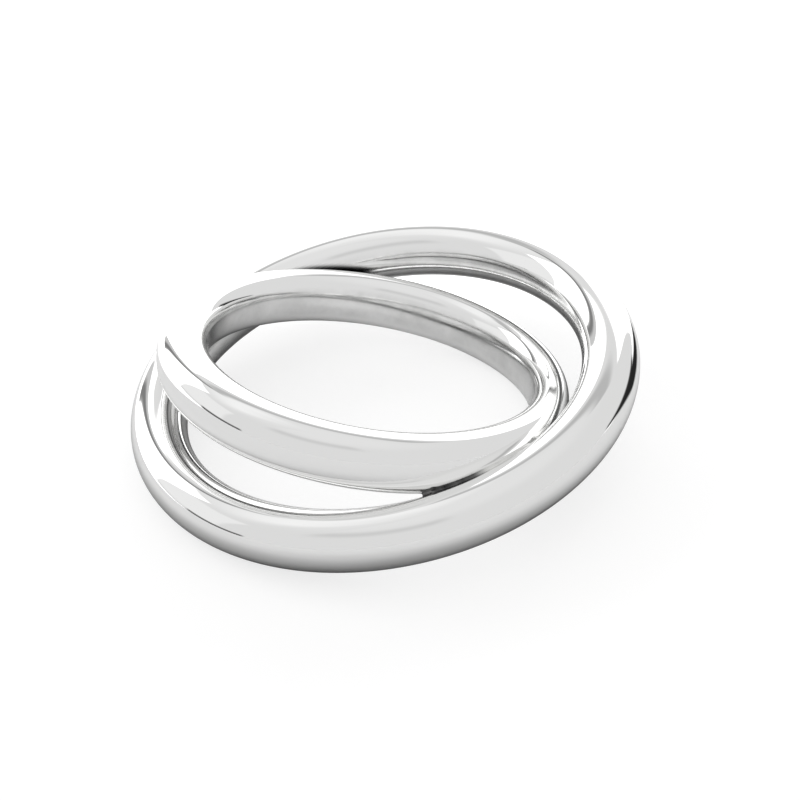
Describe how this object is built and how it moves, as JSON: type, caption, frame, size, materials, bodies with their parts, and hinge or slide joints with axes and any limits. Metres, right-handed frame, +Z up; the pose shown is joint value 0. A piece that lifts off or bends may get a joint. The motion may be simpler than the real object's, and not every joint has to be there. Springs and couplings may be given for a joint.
{
  "type": "double-band finger ring",
  "caption": "Polished silver finger ring: a rounded band for the finger crossed by a larger rounded band, soldered to it where they cross.",
  "frame": {"origin": "on the table, under the centre of the larger band, with the ring standing on the lowest point of each band", "axes": "+Z up, +X along the line through the two crossings towards the front crossing, +Y towards the raised side of the larger band"},
  "size_m": [0.0274, 0.0272, 0.0083],
  "materials": {
    "polished_silver": "mirror-polished sterling silver",
    "solder_silver": "polished silver solder"
  },
  "bodies": {
    "root": {"outer_band": "polished_silver", "inner_band": "polished_silver", "front_solder_joint": "solder_silver", "rear_solder_joint": "solder_silver"}
  },
  "joints": []
}
